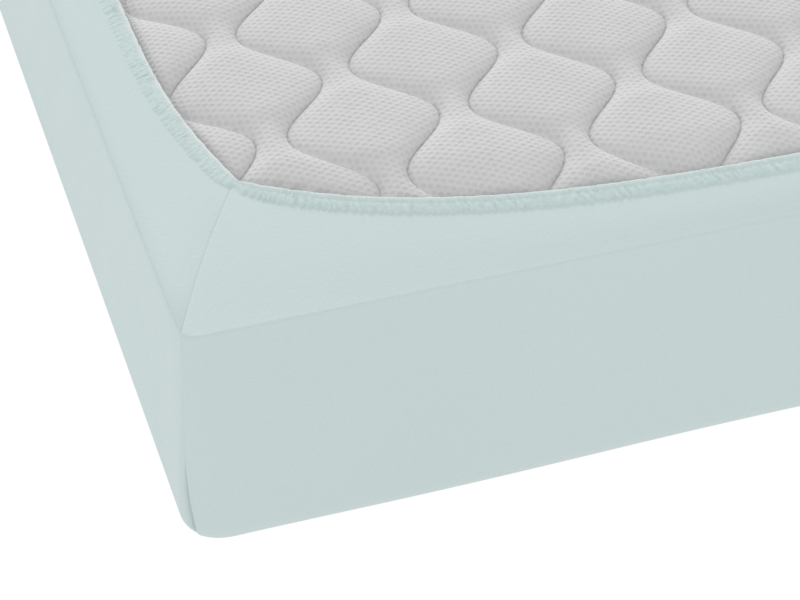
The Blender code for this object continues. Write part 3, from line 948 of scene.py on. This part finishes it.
def build_mattress(material):
    x, y, distance, relief, crest_highlight = quilt_grid()
    plan, out = round_corners(np.stack((x, y), axis=-1))
    x, y = plan[..., 0], plan[..., 1]
    top = np.stack((x, y, quilt_level(x, y, relief)), axis=-1).reshape(-1, 3)
    numbers = np.arange(x.size).reshape(x.shape)
    border = np.hstack((numbers[0, :-1], numbers[:-1, -1], numbers[-1, :0:-1], numbers[:0:-1, 0]))
    rings = lower_rings(top[border, :2], out.reshape(-1, 2)[border])
    points = np.concatenate([top] + rings + [np.array([[0.0, 0.0, CLOTH + WALL_GAP]])])
    faces = [grid_faces(*x.shape)]
    upper = border
    for number in range(len(rings)):
        lower = len(top) + number * len(border) + np.arange(len(border))
        faces.append(np.stack((lower, np.roll(lower, -1), np.roll(upper, -1), upper), axis=-1))
        upper = lower
    faces.append(closing_faces(upper, len(points) - 1))
    paint = {
        # painted shade along the quilting's seams
        "seam_line": bell(distance, SEAM_WIDTH) * (1 - SEAM_ON_CREST * crest_highlight),
        # painted highlight on the puffs' brows
        "crest_highlight": crest_highlight,
        # painted contact shadow beside the hem's edge
        "contact_shadow": bell(opening_distance(x, y), CONTACT_SHADOW_WIDTH),
    }
    bare = np.zeros(len(points) - len(top))
    attributes = [(name, np.append(share, bare)) for name, share in paint.items()]
    return make_piece("mattress_cover", points, faces, material, attributes)


# ==== materials

NOISE_RANGE = (0.3, 0.7)  # what a noise's values usually lie between
LOOKS = ("Roughness", "Sheen Weight", "Sheen Roughness", "Specular IOR Level")


class Shader:
    """A short way to write a material's nodes."""

    def __init__(self, name):
        self.material = bpy.data.materials.new(name)
        self.material.use_nodes = True
        self.tree = self.material.node_tree
        self.surface = self.tree.nodes["Principled BSDF"]
        self.place = self.node("TexCoord").outputs["Object"]

    def node(self, kind, inputs=(), **settings):
        made = self.tree.nodes.new("ShaderNode" + kind)
        for name, value in settings.items():
            setattr(made, name, value)
        for key, value in dict(inputs).items():
            self.feed(made.inputs[key], value)
        return made

    def feed(self, socket, value):
        if isinstance(value, bpy.types.NodeSocket):
            self.tree.links.new(value, socket)
        else:
            socket.default_value = value

    def math(self, operation, *values, clamp=False):
        settings = {"operation": operation, "use_clamp": clamp}
        return self.node("Math", enumerate(values), **settings).outputs[0]

    def vector(self, operation, inputs):
        return self.node("VectorMath", inputs, operation=operation).outputs[0]

    def attribute(self, name, strength=1.0):
        value = self.node("Attribute", attribute_name=name).outputs["Fac"]
        return value if strength == 1.0 else self.math("MULTIPLY", value, strength)

    def noise(self, scale, detail, roughness, output="Fac"):
        inputs = {"Vector": self.place, "Scale": scale, "Detail": detail, "Roughness": roughness}
        return self.node("TexNoise", inputs).outputs[output]

    def remap(self, value, low, high, out_low=0.0, out_high=1.0):
        names = ("Value", "From Min", "From Max", "To Min", "To Max")
        inputs = dict(zip(names, (value, low, high, out_low, out_high)))
        return self.node("MapRange", inputs).outputs[0]

    def spread(self, noise, low, high):
        """A noise whose usual values run from low to high."""
        return self.remap(noise, *NOISE_RANGE, low, high)

    def blend(self, share, first, second):
        inputs = {"Factor": share, "A": first, "B": second}
        return self.node("Mix", inputs, data_type="RGBA").outputs["Result"]

    def finish(self, colour, height, bump_distance, looks):
        bump = self.node("Bump", {"Height": height, "Distance": bump_distance, "Strength": 1.0})
        values = (colour, bump.outputs["Normal"], *looks)
        for name, value in zip(("Base Color", "Normal", *LOOKS), values):
            self.feed(self.surface.inputs[name], value)
        return self.material


# Noises are a scale, a detail and a roughness.
FUZZ_NOISE = (420.0, 3.0, 0.6)

JERSEY = (0.560, 0.655, 0.655, 1.0)
JERSEY_PALE = (0.578, 0.670, 0.670, 1.0)
JERSEY_CASING = (0.545, 0.655, 0.642, 1.0)
# painted shade in the casing's gathers
JERSEY_FOLD_SHADE = (0.455, 0.565, 0.550, 1.0)
# pale: the real threads, and a painted highlight on the casing's inner edge and on the end rims
JERSEY_THREAD_AND_HIGHLIGHT = (0.800, 0.825, 0.820, 1.0)
JERSEY_SHADE = (0.330, 0.420, 0.415, 1.0)
GRAIN_NOISE = (900.0, 3.0, 0.65)
CLOUD_NOISE = (4.0, 2.0, 0.5)
FOLD_SHADE_NOISE = (330.0, 2.0, 0.5)
FUZZ_TONE = 0.3
CLOUD_TONE = 0.7
FOLD_SHADE_TONE = 0.35
GRAIN_BUMP = 0.35
FUZZ_BUMP = 0.65
JERSEY_BUMP = 0.00034
THREAD_PAINT = 0.30  # strengths of the paints
# strength of the painted highlight along the end rims
RIM_HIGHLIGHT_PAINT = 0.12
SEAM_PAINT = 0.55
# strength of the painted shade in the tucks' cracks and the side rims' creases
CRACK_SHADE_PAINT = 0.74
SEAM_STITCH = 0.0034  # length of a stitch and the gap after it
STITCH_WAVE = (-0.6, 0.2)  # heights of a sine in which a stitch begins
STITCH_GAP = 0.35  # how dark the gaps are beside the stitches
JERSEY_LOOKS = (0.95, 0.10, 0.4, 0.15)

COVER = (0.607, 0.607, 0.609, 1.0)
# darker: painted shade in the knit's dimples, and the random stains and fuzz
COVER_STAIN_AND_DIMPLE_SHADE = (0.560, 0.560, 0.564, 1.0)
# painted shade in the quilting's seams and painted contact shadow beside the hem
COVER_SHADE = (0.270, 0.270, 0.274, 1.0)
# painted highlight on the puffs' brows
COVER_HIGHLIGHT = (0.800, 0.800, 0.802, 1.0)
DIMPLE_COLUMNS = 0.00427  # between columns of the cover's dimples
DIMPLE_PITCH = 0.0050  # between dimples along a column
DIMPLE_HEIGHTS = (-0.9, 2.2)  # of the lattice, between which a dimple sinks
DIMPLE_DEPTHS = (0.7, 1.2)
DEPTH_NOISE = (160.0, 1.0, 0.5)
BEND_NOISE = (120.0, 1.0, 0.5)
DIMPLE_BEND = 0.0012  # how far the dimples' rows wander
STAIN_NOISE = (30.0, 2.0, 0.5)
STAIN_TONE = 0.25
KNIT_TONE = 0.3
KNIT_BUMP = 0.35
COVER_BUMP = 0.00042
# strength of the painted highlight on the puffs' brows
CREST_HIGHLIGHT_PAINT = 0.70
# strength of the seams' painted shade
COVER_SEAM_SHADE_PAINT = 0.22
# strength of the painted contact shadow beside the hem
CONTACT_SHADOW_PAINT = 0.52
COVER_LOOKS = (0.9, 0.40, 0.35, 0.2)


def jersey_material():
    shader = Shader("mint_jersey")
    fuzz = shader.noise(*FUZZ_NOISE)
    clouds = shader.spread(shader.noise(*CLOUD_NOISE), 0.0, CLOUD_TONE)
    pale = shader.math("ADD", shader.spread(fuzz, 0.0, FUZZ_TONE), clouds)
    colour = shader.blend(pale, JERSEY, JERSEY_PALE)
    # painted shade in the casing's gathers, with blotches
    blotches = shader.spread(shader.noise(*FOLD_SHADE_NOISE), -FOLD_SHADE_TONE, FOLD_SHADE_TONE)
    fold_shade = shader.math("ADD", shader.attribute("fold_shade"), blotches, clamp=True)
    casing = shader.blend(fold_shade, JERSEY_CASING, JERSEY_FOLD_SHADE)
    colour = shader.blend(shader.attribute("casing"), colour, casing)
    # pale paint: a painted highlight at the casing's inner edge, the real threads, and a painted
    # highlight along the end rims
    for name, strength in (("edge", 1.0), ("threads", THREAD_PAINT), ("rim_highlight", RIM_HIGHLIGHT_PAINT)):
        colour = shader.blend(shader.attribute(name, strength), colour, JERSEY_THREAD_AND_HIGHLIGHT)
    turns = shader.attribute("profile", math.tau / SEAM_STITCH)
    stitch = shader.remap(shader.math("SINE", turns), *STITCH_WAVE, STITCH_GAP, 1.0)
    seam = shader.math("MULTIPLY", shader.attribute("seam_line", SEAM_PAINT), stitch)
    # painted shade: the tucks' cracks and the side rims' creases, with the seams' stitch lines
    dark = shader.math("MAXIMUM", seam, shader.attribute("crack", CRACK_SHADE_PAINT))
    colour = shader.blend(dark, colour, JERSEY_SHADE)
    grain = shader.math("MULTIPLY", shader.noise(*GRAIN_NOISE), GRAIN_BUMP)
    height = shader.math("ADD", grain, shader.math("MULTIPLY", fuzz, FUZZ_BUMP))
    return shader.finish(colour, height, JERSEY_BUMP, JERSEY_LOOKS)


def dimples(shader):
    """The cover's knitted dimples, in a lattice of columns set half a pitch apart."""
    bend = shader.noise(*BEND_NOISE, output="Color")
    bend = shader.vector("SUBTRACT", {0: bend, 1: (0.5, 0.5, 0.5)})
    bend = shader.vector("SCALE", {0: bend, "Scale": DIMPLE_BEND})
    moved = shader.vector("ADD", {0: shader.place, 1: bend})
    split = shader.node("SeparateXYZ", {0: moved})
    across = shader.math("MULTIPLY", split.outputs[0], math.tau / (2 * DIMPLE_COLUMNS))
    along = shader.math("MULTIPLY", split.outputs[1], math.tau / DIMPLE_PITCH)
    lattice = shader.math("COSINE", shader.math("MULTIPLY", across, 2.0))
    for operation in ("ADD", "SUBTRACT"):
        wave = shader.math("COSINE", shader.math(operation, along, across))
        lattice = shader.math("ADD", lattice, wave)
    depth = shader.spread(shader.noise(*DEPTH_NOISE), *DIMPLE_DEPTHS)
    return shader.math("MULTIPLY", shader.remap(lattice, *DIMPLE_HEIGHTS), depth)


def cover_material():
    shader = Shader("knitted_cover")
    dimple = dimples(shader)
    fuzz = shader.noise(*FUZZ_NOISE)
    stains = shader.spread(shader.noise(*STAIN_NOISE), -STAIN_TONE, STAIN_TONE)
    tone = shader.math("ADD", dimple, stains)
    tone = shader.math("ADD", tone, shader.spread(fuzz, -KNIT_TONE, KNIT_TONE), clamp=True)
    # darker in the knit's dimples as painted shade, and by the random stains and fuzz
    colour = shader.blend(tone, COVER, COVER_STAIN_AND_DIMPLE_SHADE)
    # painted highlight on the puffs' brows
    colour = shader.blend(shader.attribute("crest_highlight", CREST_HIGHLIGHT_PAINT), colour, COVER_HIGHLIGHT)
    # painted shade along the quilting's seams
    seam = shader.attribute("seam_line", COVER_SEAM_SHADE_PAINT)
    # and a painted contact shadow beside the hem's edge
    dark = shader.math("MAXIMUM", seam, shader.attribute("contact_shadow", CONTACT_SHADOW_PAINT))
    colour = shader.blend(dark, colour, COVER_SHADE)
    height = shader.math("SUBTRACT", shader.math("MULTIPLY", fuzz, KNIT_BUMP), dimple)
    return shader.finish(colour, height, COVER_BUMP, COVER_LOOKS)


# ==== stage

SENSOR_WIDTH = 36.0  # in millimetres
PICTURE_WIDTH = 800  # in pixels, as the focal length
FOCAL_PIXELS = 2205.29
CAMERA_PLACE = Vector((-0.206736, -0.918203, 1.069165))  # from the sheet's near corner
CAMERA_YAW = 0.355529
CAMERA_DOWN = 0.732736
CAMERA_ROLL = 0.0405708

KEY_UP = math.radians(15)
KEY_SPREAD = math.radians(24)
KEY_STRENGTH = 1.50
WHITE = (1.0, 1.0, 1.0, 1.0)
AROUND = 0.920  # brightness of the studio's walls
FLOOR_REACH = 30.0
FLOOR_LEVEL = -0.0008
FLOOR_LOOKS = {
    "Base Color": (0.08, 0.08, 0.08, 1.0),
    "Roughness": 1.0,
    "Specular IOR Level": 0.0,
    "Emission Color": WHITE,
    "Emission Strength": 0.945,
}


def make_camera():
    data = bpy.data.cameras.new("camera")
    data.sensor_width = SENSOR_WIDTH
    data.lens = FOCAL_PIXELS * SENSOR_WIDTH / PICTURE_WIDTH
    sideways, ahead = math.sin(CAMERA_YAW), math.cos(CAMERA_YAW)
    level = math.cos(CAMERA_DOWN)
    forward = Vector((sideways * level, ahead * level, -math.sin(CAMERA_DOWN)))
    right = Vector((ahead, -sideways, 0.0))
    up = right.cross(forward)
    rolled_right = math.cos(CAMERA_ROLL) * right + math.sin(CAMERA_ROLL) * up
    rolled_up = math.cos(CAMERA_ROLL) * up - math.sin(CAMERA_ROLL) * right
    corner = Vector((CAD_LOW.x, CAD_LOW.y, 0.0))
    turn = Matrix((rolled_right, rolled_up, -forward)).transposed().to_4x4()
    camera = add_object("camera", data)
    camera.matrix_world = Matrix.Translation(corner + CAMERA_PLACE) @ turn
    bpy.context.scene.camera = camera


def add_key():
    """A wide, distant light low behind the bed."""
    data = bpy.data.lights.new("key", "SUN")
    data.angle = KEY_SPREAD
    data.energy = KEY_STRENGTH
    light = add_object("key", data)
    towards = Vector((0.0, math.cos(KEY_UP), math.sin(KEY_UP)))
    light.rotation_mode = "QUATERNION"
    light.rotation_quaternion = towards.to_track_quat("Z", "Y")


def make_world():
    world = bpy.data.worlds.new("studio")
    world.use_nodes = True
    background = world.node_tree.nodes["Background"]
    background.inputs["Color"].default_value = WHITE
    background.inputs["Strength"].default_value = AROUND
    bpy.context.scene.world = world


def make_floor():
    corners = FLOOR_REACH * np.array([(-1, -1), (1, -1), (1, 1), (-1, 1)])
    material = bpy.data.materials.new("floor")
    material.use_nodes = True
    surface = material.node_tree.nodes["Principled BSDF"]
    for name, value in FLOOR_LOOKS.items():
        surface.inputs[name].default_value = value
    face = np.array([[0, 1, 2, 3]])
    make_piece("floor", at_level(corners, FLOOR_LEVEL), [face], material)


def set_up_studio():
    make_camera()
    make_world()
    make_floor()
    add_key()
    bpy.context.scene.view_settings.view_transform = "Standard"


# ==== everything


def main():
    jersey = jersey_material()
    sheet = build_sheet(jersey)
    hem = build_hem(jersey)
    cover = build_mattress(cover_material())
    for piece in (sheet, hem, cover):
        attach(piece, BODY)
    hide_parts("fitted_sheet")
    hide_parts("mattress")
    set_up_studio()


main()
